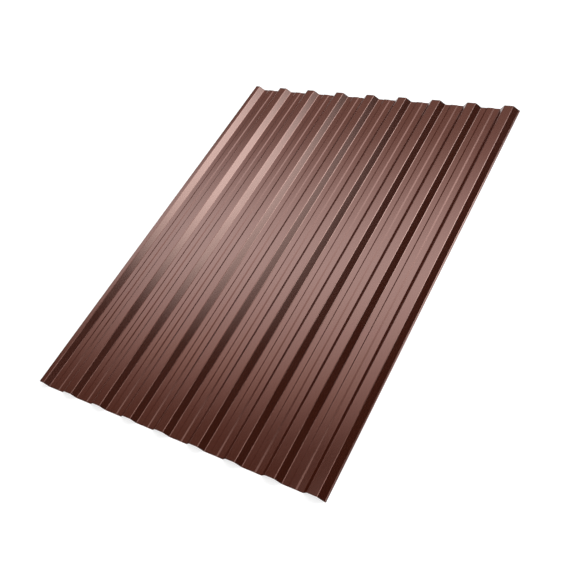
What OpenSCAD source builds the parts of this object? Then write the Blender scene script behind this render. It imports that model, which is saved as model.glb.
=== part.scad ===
// Corrugated metal sheet: a roofing and wall sheet, roll formed from one strip of coated steel.
// It lies with its valleys down. X runs across the ribs, Y along them, and the origin is on the
// ground under the middle of the sheet.

/* [Sheet] */
// Length along the ribs
sheet_length = 1535; // [300:5:6000]
// Thickness of the coated steel
sheet_thickness = 0.5; // [0.35:0.05:1.2]

/* [Ribs] */
// Whole ribs, beside the cut rib on the left edge
rib_count = 8; // [1:1:12]
// Distance from one rib to the next
rib_pitch = 137.5; // [130:0.5:250]
// Height of a crown above the valley, upper face to upper face
rib_depth = 18; // [8:0.5:40]
// Width of a crown on its upper face, between sharp corners
crown_width = 32; // [20:0.5:40]
// Run of each flank across the sheet
flank_run = 18; // [10:0.5:22]
// Radius on the inside of every bend
bend_radius = 4; // [1:0.25:6]

/* [Valley bead] */
// Width of the flat top of the bead that stiffens each valley
bead_width = 21; // [10:0.5:26]
// Run of each side of the bead across the sheet
bead_run = 4.5; // [3:0.25:6]
// Height of the bead above the valley
bead_height = 1.5; // [0.5:0.25:3]

/* [Edges] */
// Width of the cut crown on the left edge, from its sharp corner
edge_crown = 18; // [6:0.5:40]
// Width of the flat lip on the right edge, from the foot of the last flank
edge_lip = 4; // [1:0.5:40]

/* [Hidden] */

coat_brown = [0.36, 0.21, 0.17];

// Largest angle between two points along a bend
facet_angle = 7.5;

// Share of a flat that the bend at one end of it may take up
middle_share = 0.45;
edge_share = 0.9;

sheet_width = edge_crown + flank_run + rib_count * rib_pitch + edge_lip;
valley_width = rib_pitch - crown_width - 2 * flank_run;
bead_margin = (valley_width - bead_width) / 2 - bead_run;
first_valley = -sheet_width / 2 + edge_crown + flank_run;

// Sharp corners of the upper face, as [across, up]: a valley with its bead, then the rib to its right
function wave(x) = [
    [x, 0],
    [x + bead_margin, 0],
    [x + bead_margin + bead_run, bead_height],
    [x + bead_margin + bead_run + bead_width, bead_height],
    [x + bead_margin + bead_run * 2 + bead_width, 0],
    [x + valley_width, 0],
    [x + valley_width + flank_run, rib_depth],
    [x + valley_width + flank_run + crown_width, rib_depth]
];

// All the corners, from the cut crown on the left to the lip on the right
corners = concat(
    [[-sheet_width / 2, rib_depth], [first_valley - flank_run, rib_depth]],
    [for (k = [0 : rib_count - 1]) each wave(first_valley + k * rib_pitch)],
    [[sheet_width / 2 - edge_lip, 0], [sheet_width / 2, 0]]
);
last = len(corners) - 1;

// Flat i runs from corner i to the next one, and its normal is its heading turned upwards
function run(i) = corners[i + 1] - corners[i];
function heading(i) = run(i) / norm(run(i));
function normal(i) = [-heading(i)[1], heading(i)[0]];

// Angle that the sheet turns through at corner i, positive where it turns upwards
function turn(i) = atan2(cross(heading(i - 1), heading(i)), heading(i - 1) * heading(i));

// Longest piece of flat i that a bend may take up
function room(i) = norm(run(i)) * (i == 0 || i == last - 1 ? edge_share : middle_share);

// Radius of the upper face at corner i: the inside of an upward turn, the outside of a downward one,
// and never more than the flats beside it have room for
function face_radius(i) = min(
    bend_radius + (turn(i) < 0 ? sheet_thickness : 0),
    min(room(i - 1), room(i)) / tan(abs(turn(i)) / 2)
);

// Points along the bend at corner i, on the face that lies the given depth below the upper one.
// Both faces turn about the same centre, so the sheet keeps its thickness round the bend.
function bend(i, depth) =
    let (
        side = sign(turn(i)),
        setback = face_radius(i) * tan(abs(turn(i)) / 2),
        centre = corners[i] - heading(i - 1) * setback + normal(i - 1) * side * face_radius(i),
        radius = face_radius(i) + side * depth,
        start = atan2(-side * normal(i - 1)[1], -side * normal(i - 1)[0]),
        steps = ceil(abs(turn(i)) / facet_angle)
    )
    [for (s = [0 : steps]) let (a = start + turn(i) * s / steps) centre + radius * [cos(a), sin(a)]];

// Outline of one face across the whole sheet, from left to right
function face(depth) = concat(
    [corners[0] - normal(0) * depth],
    [for (i = [1 : last - 1]) each bend(i, depth)],
    [corners[last] - normal(last - 1) * depth]
);

function reversed(points) = [for (i = [len(points) - 1 : -1 : 0]) points[i]];

// The sheet: its section carried along the ribs, with the undersides of the valleys on the ground
module profiled_sheet() {
    color(coat_brown)
        translate([0, sheet_length / 2, sheet_thickness])
            rotate([90, 0, 0])
                linear_extrude(sheet_length)
                    polygon(concat(face(sheet_thickness), reversed(face(0))));
}

profiled_sheet();
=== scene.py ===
import math

import bpy
import numpy as np
from mathutils import Matrix, Vector


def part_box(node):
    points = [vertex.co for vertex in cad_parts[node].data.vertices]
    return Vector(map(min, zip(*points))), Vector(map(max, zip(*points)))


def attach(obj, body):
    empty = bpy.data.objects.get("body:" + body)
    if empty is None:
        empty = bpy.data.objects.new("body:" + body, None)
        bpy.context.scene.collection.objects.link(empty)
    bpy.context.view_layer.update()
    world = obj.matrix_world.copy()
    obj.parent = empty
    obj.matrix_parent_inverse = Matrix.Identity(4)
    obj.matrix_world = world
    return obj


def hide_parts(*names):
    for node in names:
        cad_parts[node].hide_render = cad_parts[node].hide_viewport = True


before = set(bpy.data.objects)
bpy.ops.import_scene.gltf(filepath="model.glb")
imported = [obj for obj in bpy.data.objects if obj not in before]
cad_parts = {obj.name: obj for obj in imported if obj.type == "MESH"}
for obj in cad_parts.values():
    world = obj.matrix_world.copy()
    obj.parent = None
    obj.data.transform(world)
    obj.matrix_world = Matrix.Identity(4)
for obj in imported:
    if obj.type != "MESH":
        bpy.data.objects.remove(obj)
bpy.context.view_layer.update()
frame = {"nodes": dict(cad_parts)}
print("frame loaded:", ", ".join(frame["nodes"]))

# the sheet in metres, with the sizes of the solid that it stands for
sheet = {
    "node": "profiled_sheet",
    "thickness": 0.0005,
    "ribs": 8,  # whole ribs beside the cut one on the left
    "pitch": 0.1375,
    "depth": 0.018,  # crown above valley
    "crown": 0.032,
    "flankRun": 0.018,
    "bendRadius": 0.004,  # inside of a bend
    "beadTop": 0.021,
    "beadRun": 0.0045,
    "beadHeight": 0.0015,
    "edgeCrown": 0.018,
    "edgeLip": 0.004,
    "middleShare": 0.45,  # most of a flat that the bend at one end of it may take up
    "edgeShare": 0.9,  # the same for the outermost flats, which have one bend each
    "bendSteps": 10,
    "support": 0.0004,  # strip of flat kept beside each bend, so that the flats shade flat
    "stations": 17,  # rows of points along the ribs
}

# where the faces of the sheet lie on the map of its surface
sheetMap = {
    "top": (0.006, 0.490),  # across, from the left edge of the sheet to the right one
    "back": (0.994, 0.510),
    "leftCut": (0.4945, 0.4985),  # across, from the upper face to the lower one
    "rightCut": (0.4995, 0.5035),  # across, from the lower face to the upper one
    "ribs": (0.014, 0.986),  # along, from the near end of the sheet to the far one
    "nearCut": (0.004, 0.008),  # along, from the lower face to the upper one
    "farCut": (0.992, 0.996),
}


# Sharp corners of the upper face, from the cut crown to the lip: the steps of one wave (margin, bead, margin,
# rib) are repeated for every rib, and each corner is the running sum of the steps before it.
def sheetCorners(s, left):
    valley = s["pitch"] - s["crown"] - 2 * s["flankRun"]
    margin = (valley - s["beadTop"]) / 2 - s["beadRun"]
    bead, flank = s["beadRun"], s["flankRun"]
    waveRun = [margin, bead, s["beadTop"], bead, margin, flank, s["crown"], flank]
    waveRise = [0, s["beadHeight"], 0, -s["beadHeight"], 0, s["depth"], 0, -s["depth"]]
    run = np.concatenate([[0, s["edgeCrown"], flank], np.tile(waveRun, s["ribs"]), [s["edgeLip"]]])
    rise = np.concatenate([[0, 0, -s["depth"]], np.tile(waveRise, s["ribs"]), [0]])
    return np.stack([left + np.cumsum(run), s["thickness"] + s["depth"] + np.cumsum(rise)], axis=1)


# One face of the sheet, the given depth below the upper one. At each inner corner the outline leaves its flat a
# setback early and follows an arc: centre plus radius times (cos, sin) of an angle that goes evenly through the
# turn. Both faces turn about the same centres, so the sheet keeps its thickness round every bend.
def sheetFace(corners, depth, s):
    run = np.diff(corners, axis=0)
    length = np.linalg.norm(run, axis=1)
    heading = run / length[:, None]
    normal = np.stack([-heading[:, 1], heading[:, 0]], axis=1)
    before, after, upright = heading[:-1], heading[1:], normal[:-1]
    crossed = before[:, 0] * after[:, 1] - before[:, 1] * after[:, 0]
    turn = np.arctan2(crossed, (before * after).sum(axis=1))
    side = np.sign(turn)[:, None]
    half = np.tan(np.abs(turn) / 2)
    room = length * s["middleShare"]
    room[[0, -1]] = length[[0, -1]] * s["edgeShare"]
    wanted = s["bendRadius"] + np.where(turn < 0, s["thickness"], 0)
    radius = np.minimum(wanted, np.minimum(room[:-1], room[1:]) / half)
    centre = corners[1:-1] - before * (radius * half)[:, None] + upright * side * radius[:, None]
    start = np.arctan2(-side[:, 0] * upright[:, 1], -side[:, 0] * upright[:, 0])
    angle = start[:, None] + turn[:, None] * np.linspace(0, 1, s["bendSteps"] + 1)
    around = np.stack([np.cos(angle), np.sin(angle)], axis=2)
    arc = centre[:, None] + (radius[:, None] + side * depth)[:, :, None] * around
    lead = arc[:, :1] - before[:, None] * s["support"]
    trail = arc[:, -1:] + after[:, None] * s["support"]
    bends = np.concatenate([lead, arc, trail], axis=1).reshape(-1, 2)
    first, last = corners[:1] - normal[:1] * depth, corners[-1:] - normal[-1:] * depth
    return np.concatenate([first, bends, last])


# Map of the surface, u across and v along the ribs: both faces laid out flat side by side, with u in step with the
# distance walked along the section, and the cut edges in narrow strips beside them.
def sheetUv(upper, rows, m):
    walked = np.concatenate([[0], np.cumsum(np.linalg.norm(np.diff(upper, axis=0), axis=1))])
    share = walked / walked[-1]
    topU = m["top"][0] + (m["top"][1] - m["top"][0]) * share
    backU = m["back"][0] + (m["back"][1] - m["back"][0]) * share
    left, right, near, far = m["leftCut"], m["rightCut"], m["nearCut"], m["farCut"]
    fromU = np.concatenate([backU[:-1], right[:1], topU[:0:-1], left[:1]])
    toU = np.concatenate([backU[1:], right[1:], topU[-2::-1], left[1:]])
    v = np.linspace(*m["ribs"], rows)
    skin = np.empty((rows - 1, len(fromU), 4, 2))
    skin[..., 0] = np.stack([fromU, fromU, toU, toU], axis=1)
    skin[..., 1] = np.stack([v[:-1], v[1:], v[1:], v[:-1]], axis=1)[:, None]
    farEnd, nearEnd = np.empty((2, len(upper) - 1, 4, 2))
    farEnd[..., 0] = np.stack([topU[:-1], topU[:-1], topU[1:], topU[1:]], axis=1)
    farEnd[..., 1] = [far[0], far[1], far[1], far[0]]
    nearEnd[..., 0] = np.stack([topU[:-1], topU[1:], topU[1:], topU[:-1]], axis=1)
    nearEnd[..., 1] = [near[0], near[0], near[1], near[1]]
    return np.concatenate([part.reshape(-1, 2) for part in (skin, farEnd, nearEnd)])


# The coats end sharply where the strip is cut: at edges that lie in the first or last row of points, across both
# ends, and at edges that run along one of the four corners of the section, along both sides.
def sharpenCuts(mesh, n, rows):
    pairs = np.empty(2 * len(mesh.edges), np.int32)
    mesh.edges.foreach_get("vertices", pairs)
    row, spot = np.divmod(pairs.reshape(-1, 2), 2 * n)
    ends = (row[:, 0] == row[:, 1]) & np.isin(row[:, 0], [0, rows - 1])
    sides = (spot[:, 0] == spot[:, 1]) & np.isin(spot[:, 0], [0, n - 1, n, 2 * n - 1])
    mesh.edges.foreach_set("use_edge_sharp", ends | sides)


# A closed sheet: the section's ring (lower face to the right, upper face back to the left) is carried straight
# along the ribs, so point (j, i) is (ring x of i, station y of j, ring z of i), and quads between the two faces
# close the ends.
def buildSheet(name, s, materials):
    low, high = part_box(s["node"])
    corners = sheetCorners(s, low.x)
    upper, lower = sheetFace(corners, 0, s), sheetFace(corners, s["thickness"], s)
    n, rows = len(upper), s["stations"]
    ring = np.concatenate([lower, upper[::-1]])
    y = np.linspace(low.y, high.y, rows)
    points = np.empty((rows, 2 * n, 3))
    points[:, :, 0], points[:, :, 1], points[:, :, 2] = ring[:, 0], y[:, None], ring[:, 1]

    index = np.arange(rows * 2 * n).reshape(rows, 2 * n)
    onward = np.roll(index, -1, axis=1)
    skin = np.stack([index[:-1], index[1:], onward[1:], onward[:-1]], axis=2).reshape(-1, 4)
    under, over = index[:, :n], index[:, n:][:, ::-1]
    farEnd = np.stack([under[-1, :-1], over[-1, :-1], over[-1, 1:], under[-1, 1:]], axis=1)
    nearEnd = np.stack([under[0, :-1], under[0, 1:], over[0, 1:], over[0, :-1]], axis=1)
    faces = np.concatenate([skin, farEnd, nearEnd])

    # finish of each strip round the ring, then of both ends, in the order of the materials
    top, back, cut = range(3)
    strip = np.concatenate([np.full(n - 1, back), [cut], np.full(n - 1, top), [cut]])
    finish = np.concatenate([np.tile(strip, rows - 1), np.full(2 * (n - 1), cut)])

    mesh = bpy.data.meshes.new(name)
    mesh.from_pydata(points.reshape(-1, 3).tolist(), [], faces.tolist())
    mesh.polygons.foreach_set("material_index", finish.astype(np.int32))
    mesh.polygons.foreach_set("use_smooth", finish != cut)  # the cut edges stay flat
    layer = mesh.uv_layers.new(name="OFBake")
    layer.uv.foreach_set("vector", sheetUv(upper, rows, sheetMap).astype(np.float32).ravel())
    for material in materials:
        mesh.materials.append(material)
    mesh.update(calc_edges=True)
    sharpenCuts(mesh, n, rows)
    piece = bpy.data.objects.new(name, mesh)
    bpy.context.scene.collection.objects.link(piece)
    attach(piece, "root")
    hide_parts(s["node"])
    print(f"{name}: {points.shape[0] * points.shape[1]} points, {len(faces)} faces")


# a new node, with its own settings and the values of its inputs
def nodeIn(tree, kind, values=None, **settings):
    node = tree.nodes.new(kind)
    for key, value in settings.items():
        setattr(node, key, value)
    for key, value in (values or {}).items():
        node.inputs[key].default_value = value
    return node


# noise on a rolled, coated strip
rolling = {
    "scales": {"Grain Scale": 320, "Line Scale": 260, "Mottle Scale": 9},
    "along": 0.004,  # scale along the ribs, as a share, which draws the lines out
    "span": (0.3, 0.7),  # where most of the noise lies, stretched over the range of roughness
}


# Surface of a rolled, coated strip. Grain: fine orange peel of the coat, noise in all directions. Lines: faint
# marks left by the rolls, noise drawn out along the ribs. Mottle: slow uneven gloss.
def rolledSurface(r):
    group = bpy.data.node_groups.new("rolledSurface", "ShaderNodeTree")
    face = group.interface
    face.new_socket("Position", in_out="INPUT", socket_type="NodeSocketVector")
    for name, scale in r["scales"].items():
        face.new_socket(name, in_out="INPUT", socket_type="NodeSocketFloat").default_value = scale
    for name in ("Grain", "Lines", "Mottle"):
        face.new_socket(name, in_out="OUTPUT", socket_type="NodeSocketFloat")
    come, go = nodeIn(group, "NodeGroupInput"), nodeIn(group, "NodeGroupOutput")
    drawn = nodeIn(group, "ShaderNodeVectorMath", {1: (1.0, r["along"], 1.0)}, operation="MULTIPLY")
    grain = nodeIn(group, "ShaderNodeTexNoise", {"Detail": 2.0, "Roughness": 0.45})
    lines = nodeIn(group, "ShaderNodeTexNoise", {"Detail": 3.0, "Roughness": 0.6})
    mottle = nodeIn(group, "ShaderNodeTexNoise", {"Detail": 3.0, "Roughness": 0.55})
    link = group.links.new
    link(come.outputs["Position"], grain.inputs["Vector"])
    link(come.outputs["Position"], drawn.inputs[0])
    link(drawn.outputs[0], lines.inputs["Vector"])
    link(come.outputs["Position"], mottle.inputs["Vector"])
    link(come.outputs["Grain Scale"], grain.inputs["Scale"])
    link(come.outputs["Line Scale"], lines.inputs["Scale"])
    link(come.outputs["Mottle Scale"], mottle.inputs["Scale"])
    link(grain.outputs["Fac"], go.inputs["Grain"])
    link(lines.outputs["Fac"], go.inputs["Lines"])
    link(mottle.outputs["Fac"], go.inputs["Mottle"])
    return group


# the three finishes of the sheet: two colours of each, with gloss and grain
topCoat = {
    "name": "brownTopCoat",
    "colour": (0.041, 0.0070, 0.0027, 1),
    "paler": (0.0438, 0.0078, 0.0032, 1),
    "roughness": (0.15, 0.18),
    "metallic": 0.0,
    "ior": 2.1,  # with the tint, the strong warm sheen of the coat
    "tint": (1, 0.575, 0.487, 1),
    "peel": 0.000004,  # height of the orange peel
    "grainScale": 320,
    "lineShare": 0.25,  # how far the rolled lines take over from the mottle
}
backCoat = {
    "name": "greyBackCoat",
    "colour": (0.40, 0.39, 0.36, 1),
    "paler": (0.44, 0.43, 0.40, 1),
    "roughness": (0.42, 0.52),
    "metallic": 0.0,
    "ior": 1.5,
    "tint": (1, 1, 1, 1),
    "peel": 0.000015,
    "grainScale": 260,
    "lineShare": 0.35,
}
cutSteel = {
    "name": "cutSteelEdge",
    "colour": (0.42, 0.41, 0.40, 1),
    "paler": (0.52, 0.52, 0.52, 1),
    "roughness": (0.34, 0.5),
    "metallic": 1.0,
    "ior": 1.5,
    "tint": (1, 1, 1, 1),
    "peel": 0.00002,
    "grainScale": 900,
    "lineShare": 0.5,
}


# Node that maps one span of a value evenly onto another.
def mapSpan(tree, span, onto):
    ends = {"From Min": span[0], "From Max": span[1], "To Min": onto[0], "To Max": onto[1]}
    return nodeIn(tree, "ShaderNodeMapRange", ends)


# One finish: a blend of mottle and rolled lines moves the colour and the roughness between their two values, and
# the grain is a bump as high as the peel.
def sheetFinish(f, surface):
    material = bpy.data.materials.new(f["name"])
    material.use_nodes = True
    tree = material.node_tree
    link = tree.links.new
    shader = tree.nodes["Principled BSDF"]
    shader.inputs["Metallic"].default_value = f["metallic"]
    shader.inputs["IOR"].default_value = f["ior"]
    shader.inputs["Specular Tint"].default_value = f["tint"]
    place = nodeIn(tree, "ShaderNodeTexCoord")
    rolled = nodeIn(tree, "ShaderNodeGroup", node_tree=surface)
    rolled.inputs["Grain Scale"].default_value = f["grainScale"]
    blend = nodeIn(tree, "ShaderNodeMix", {"Factor": f["lineShare"]}, data_type="FLOAT")
    colour = nodeIn(tree, "ShaderNodeMix", {"A": f["colour"], "B": f["paler"]}, data_type="RGBA")
    gloss = mapSpan(tree, rolling["span"], f["roughness"])
    bump = nodeIn(tree, "ShaderNodeBump", {"Strength": 1.0, "Distance": f["peel"]})
    link(place.outputs["Object"], rolled.inputs["Position"])
    link(rolled.outputs["Mottle"], blend.inputs["A"])
    link(rolled.outputs["Lines"], blend.inputs["B"])
    link(blend.outputs["Result"], gloss.inputs["Value"])
    link(blend.outputs["Result"], colour.inputs["Factor"])
    link(rolled.outputs["Grain"], bump.inputs["Height"])
    link(colour.outputs["Result"], shader.inputs["Base Color"])
    link(gloss.outputs["Result"], shader.inputs["Roughness"])
    link(bump.outputs["Normal"], shader.inputs["Normal"])
    return material


surface = rolledSurface(rolling)
finishes = [sheetFinish(f, surface) for f in (topCoat, backCoat, cutSteel)]
print("finishes:", ", ".join(m.name for m in finishes))
buildSheet("corrugatedSheet", sheet, finishes)

# pale floor just under the sheet, which curves up into a backdrop far away: white where the light is open, with
# the sheet's shadow left on it
ground = {
    "drop": 0.0002,
    "rings": (0.02, 2, 6, 14),  # radii of the points on the level part
    "flat": 30.0,  # radius at which the curve starts
    "cove": 4.0,  # radius of the curve
    "coveSteps": 8,
    "wall": 3.5,  # height above the curve
    "turns": 64,
    "white": (0.55, 0.55, 0.55, 1),
    "glow": (0.54, 1.0),  # near the sheet and far away
    "reach": (3.0, 11.0),  # where one goes over into the other
}


# Finish of the floor: matt, plus a glow that grows evenly with the distance from the middle. Only camera, glossy
# and transmission rays see the glow, so it shows in reflections and lights nothing else.
def groundFinish(g):
    material = bpy.data.materials.new("paleFloor")
    material.use_nodes = True
    tree = material.node_tree
    tree.nodes.clear()
    link = tree.links.new
    diffuse = nodeIn(tree, "ShaderNodeBsdfDiffuse", {"Color": g["white"]})
    glow = nodeIn(tree, "ShaderNodeEmission", {"Color": (1, 1, 1, 1)})
    both = nodeIn(tree, "ShaderNodeAddShader")
    out = nodeIn(tree, "ShaderNodeOutputMaterial")
    path = nodeIn(tree, "ShaderNodeLightPath")
    seen = nodeIn(tree, "ShaderNodeMath", operation="ADD")
    through = nodeIn(tree, "ShaderNodeMath", operation="ADD", use_clamp=True)
    lift = nodeIn(tree, "ShaderNodeMath", operation="MULTIPLY")
    place = nodeIn(tree, "ShaderNodeTexCoord")
    away = nodeIn(tree, "ShaderNodeVectorMath", operation="LENGTH")
    level = mapSpan(tree, g["reach"], g["glow"])
    link(place.outputs["Object"], away.inputs[0])
    link(away.outputs["Value"], level.inputs["Value"])
    link(path.outputs["Is Camera Ray"], seen.inputs[0])
    link(path.outputs["Is Glossy Ray"], seen.inputs[1])
    link(seen.outputs[0], through.inputs[0])
    link(path.outputs["Is Transmission Ray"], through.inputs[1])
    link(through.outputs[0], lift.inputs[0])
    link(level.outputs["Result"], lift.inputs[1])
    link(lift.outputs[0], glow.inputs["Strength"])
    link(diffuse.outputs[0], both.inputs[0])
    link(glow.outputs[0], both.inputs[1])
    link(both.outputs[0], out.inputs["Surface"])
    return material


# The floor is a profile carried round a circle: out along the ground, up a quarter turn and on up the wall, so
# point (i, j) is (radius of i times cos and sin of the angle of j, height of i).
def buildGround(name, g):
    quarter = np.linspace(0, np.pi / 2, g["coveSteps"] + 1)
    outward, upward = g["cove"] * np.sin(quarter), g["cove"] * (1 - np.cos(quarter))
    radius = np.concatenate([g["rings"], g["flat"] + outward, [g["flat"] + g["cove"]]])
    height = np.concatenate([np.zeros(len(g["rings"])), upward, [g["cove"] + g["wall"]]]) - g["drop"]
    angle = np.linspace(0, 2 * np.pi, g["turns"], endpoint=False)
    level = np.repeat(height[:, None], g["turns"], axis=1)
    points = np.stack([np.outer(radius, np.cos(angle)), np.outer(radius, np.sin(angle)), level], axis=2)
    index = np.arange(level.size).reshape(level.shape)
    onward = np.roll(index, -1, axis=1)
    quads = np.stack([index[:-1], index[1:], onward[1:], onward[:-1]], axis=2).reshape(-1, 4)
    faces = quads.tolist() + [index[0].tolist()]  # one face closes the middle
    mesh = bpy.data.meshes.new(name)
    mesh.from_pydata(points.reshape(-1, 3).tolist(), [], faces)
    mesh.polygons.foreach_set("use_smooth", [True] * len(faces))
    mesh.materials.append(groundFinish(g))
    floor = bpy.data.objects.new(name, mesh)
    bpy.context.scene.collection.objects.link(floor)
    print(f"{name}: {len(faces)} faces")


buildGround("studioFloor", ground)

# soft boxes, all level and facing down, in metres, degrees and watts; a higher fade keeps a box bright nearer to
# its edges, and each hangs at its own height, because boxes that overlap at one height lose light in reflections
lamps = {
    "bandBox": {  # flats
        "place": (-2.6, 4.0, 6.0), "size": (10.8, 5.45), "fade": (12, 1.5), "turn": 3,
        "watts": 584, "colour": (0.856, 0.948, 1), "rim": (1, 0.72, 0.63, 1),
    },
    "nearBox": {  # flats at the near end
        "place": (-6.5, 1.0, 6.03), "size": (9.0, 3.4), "fade": (3, 2), "turn": 0,
        "watts": 21, "colour": (1, 0.68, 0.58), "rim": (1, 1, 1, 1),
    },
    "edgeBox": {  # bends, and right flanks of the left ribs
        "place": (4.5, 5.2, 6.06), "size": (5.4, 5.0), "fade": (4, 2.5), "turn": 0,
        "watts": 465, "colour": (0.795, 0.95, 1), "rim": (1, 1, 1, 1),
    },
    "bendBox": {  # bends
        "place": (3.1, 5.4, 6.09), "size": (2.6, 4.6), "fade": (3, 2), "turn": 0,
        "watts": 255, "colour": (0.88, 0.97, 1), "rim": (1, 1, 1, 1),
    },
    "beadBox": {  # sides of the beads
        "place": (0.2, 5.9, 6.12), "size": (4.4, 3.6), "fade": (4, 2), "turn": 0,
        "watts": 40, "colour": (1, 1, 1), "rim": (1, 1, 1, 1),
    },
    "flankBox": {  # right flanks of the left ribs
        "place": (6.8, 6.15, 6.15), "size": (4.0, 5.7), "fade": (3, 2), "turn": 0,
        "watts": 159, "colour": (0.795, 0.95, 1), "rim": (1, 1, 1, 1),
    },
    "farBox": {  # flats at the far end
        "place": (-4.8, 8.2, 6.18), "size": (9.0, 5.0), "fade": (6, 2), "turn": 0,
        "watts": 80, "colour": (1, 0.74, 0.65), "rim": (1, 1, 1, 1),
    },
    "topBox": {  # sides of the beads at the near end
        "place": (-0.4, 0.0, 6.21), "size": (4.4, 2.4), "fade": (4, 3), "turn": 0,
        "watts": 48, "colour": (1, 1, 1), "rim": (1, 1, 1, 1),
    },
    "footBox": {  # bends at the near end
        "place": (2.8, 0.8, 6.24), "size": (2.4, 2.4), "fade": (3, 2), "turn": 0,
        "watts": 88, "colour": (1, 1, 1), "rim": (1, 1, 1, 1),
    },
    "fillBox": {  # light for the views from behind
        "place": (0.0, -3.6, 6.27), "size": (16.0, 5.2), "fade": (4, 3), "turn": 0,
        "watts": 525, "colour": (1, 1, 1), "rim": (1, 1, 1, 1),
    },
}


# Light of a soft box over its width u and depth v, both from 0 to 1: the distance from the middle line, as a share
# of the half width, is raised to the fade and taken from one, for u and for v, and the two are multiplied. The
# tint of the rim goes over into white as that light grows.
def hangLamp(name, lamp):
    light = bpy.data.lights.new(name, "AREA")
    light.shape = "RECTANGLE"
    light.size, light.size_y = lamp["size"]
    light.energy, light.color = lamp["watts"], lamp["colour"]
    light.use_nodes = True
    tree = light.node_tree
    link = tree.links.new
    glow = tree.nodes["Emission"]
    over = nodeIn(tree, "ShaderNodeNewGeometry")
    split = nodeIn(tree, "ShaderNodeSeparateXYZ")
    both = nodeIn(tree, "ShaderNodeMath", operation="MULTIPLY")
    shade = nodeIn(tree, "ShaderNodeMix", {"A": lamp["rim"], "B": (1, 1, 1, 1)}, data_type="RGBA")
    link(over.outputs["Parametric"], split.inputs[0])
    for side, fade in enumerate(lamp["fade"]):
        middle = nodeIn(tree, "ShaderNodeMath", {1: 2.0, 2: -1.0}, operation="MULTIPLY_ADD")
        away = nodeIn(tree, "ShaderNodeMath", operation="ABSOLUTE")
        power = nodeIn(tree, "ShaderNodeMath", {1: fade}, operation="POWER")
        left = nodeIn(tree, "ShaderNodeMath", {0: 1.0}, operation="SUBTRACT", use_clamp=True)
        link(split.outputs[side], middle.inputs[0])
        link(middle.outputs[0], away.inputs[0])
        link(away.outputs[0], power.inputs[0])
        link(power.outputs[0], left.inputs[1])
        link(left.outputs[0], both.inputs[side])
    link(both.outputs[0], glow.inputs["Strength"])
    link(both.outputs[0], shade.inputs["Factor"])
    link(shade.outputs["Result"], glow.inputs["Color"])
    hung = bpy.data.objects.new(name, light)
    hung.location = lamp["place"]
    hung.rotation_euler.z = math.radians(lamp["turn"])
    hung.visible_camera = False
    bpy.context.scene.collection.objects.link(hung)


for name, lamp in lamps.items():
    hangLamp(name, lamp)
print("lamps:", ", ".join(lamps))

# open room: paler in front of the sheet, and dim beyond it, where the soft boxes hang
room = {
    "edge": (-0.15, 0.1),  # y of the direction, where one goes over into the other
    "light": (0.25, 0.02),
}


# Light of the room by direction: its y, mapped evenly from the edge onto the light.
def lightRoom(r):
    world = bpy.data.worlds.new("studioWorld")
    world.use_nodes = True
    tree = world.node_tree
    link = tree.links.new
    background = tree.nodes["Background"]
    background.inputs["Color"].default_value = (1, 1, 1, 1)
    toward = nodeIn(tree, "ShaderNodeTexCoord")
    split = nodeIn(tree, "ShaderNodeSeparateXYZ")
    level = mapSpan(tree, r["edge"], r["light"])
    link(toward.outputs["Generated"], split.inputs[0])
    link(split.outputs["Y"], level.inputs["Value"])
    link(level.outputs["Result"], background.inputs["Strength"])
    bpy.context.scene.world = world
    print("room: light", r["light"])


lightRoom(room)

# camera at the photo's angle, in metres, degrees and millimetres
shot = {
    "place": (1.39121, -1.22252, 1.80346),
    "lookAt": (0.0939, -0.1811, 0.0),
    "roll": -28.257,
    "lens": 47.548,
    "sensor": 36,
    "clip": (0.01, 200),
}


# The camera looks from its place at a point, and is then rolled about its own axis.
def placeCamera(c):
    lens = bpy.data.cameras.new("photoCamera")
    lens.sensor_fit, lens.sensor_width, lens.lens = "HORIZONTAL", c["sensor"], c["lens"]
    lens.clip_start, lens.clip_end = c["clip"]
    camera = bpy.data.objects.new("photoCamera", lens)
    aim = (Vector(c["lookAt"]) - Vector(c["place"])).to_track_quat("-Z", "Y").to_matrix()
    rolled = aim @ Matrix.Rotation(math.radians(c["roll"]), 3, "Z")
    camera.matrix_world = Matrix.Translation(c["place"]) @ rolled.to_4x4()
    bpy.context.scene.collection.objects.link(camera)
    bpy.context.scene.camera = camera
    print("camera: lens", c["lens"])


placeCamera(shot)
bpy.context.scene.view_settings.view_transform = "Standard"

print("scene ready")
